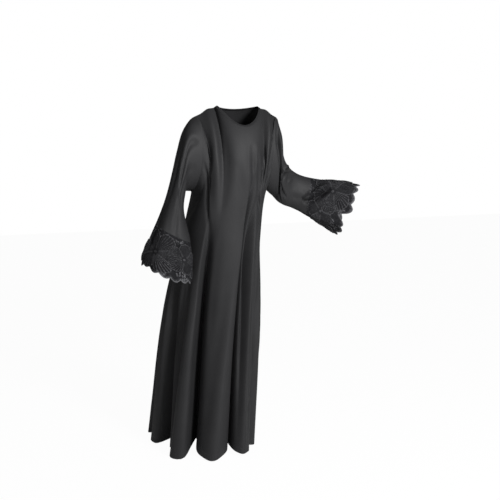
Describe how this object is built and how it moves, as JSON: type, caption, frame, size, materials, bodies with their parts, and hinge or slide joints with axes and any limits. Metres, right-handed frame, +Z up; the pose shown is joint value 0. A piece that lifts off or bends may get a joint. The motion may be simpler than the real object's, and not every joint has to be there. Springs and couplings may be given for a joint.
{
  "type": "abaya",
  "caption": "Floor-length loose black robe in its worn shape, with long bell sleeves, one raised, and scalloped lace cuffs of large flowers.",
  "frame": {"origin": "midway between the two neck points, where the wearer's shoulders hold the garment", "axes": "+X to the wearer's left, -Y to the front, +Z up along the hanging garment"},
  "size_m": [0.9099, 0.4662, 1.4059],
  "materials": {
    "cloth": "black satin-backed crepe, soft sheen",
    "lace": "black lace with grey embroidery"
  },
  "bodies": {
    "root": {"body_front": "cloth", "body_back": "cloth", "neck_binding": "cloth", "sleeve_left": "cloth", "sleeve_right": "cloth", "cuff_left": "lace", "cuff_right": "lace"}
  },
  "joints": []
}
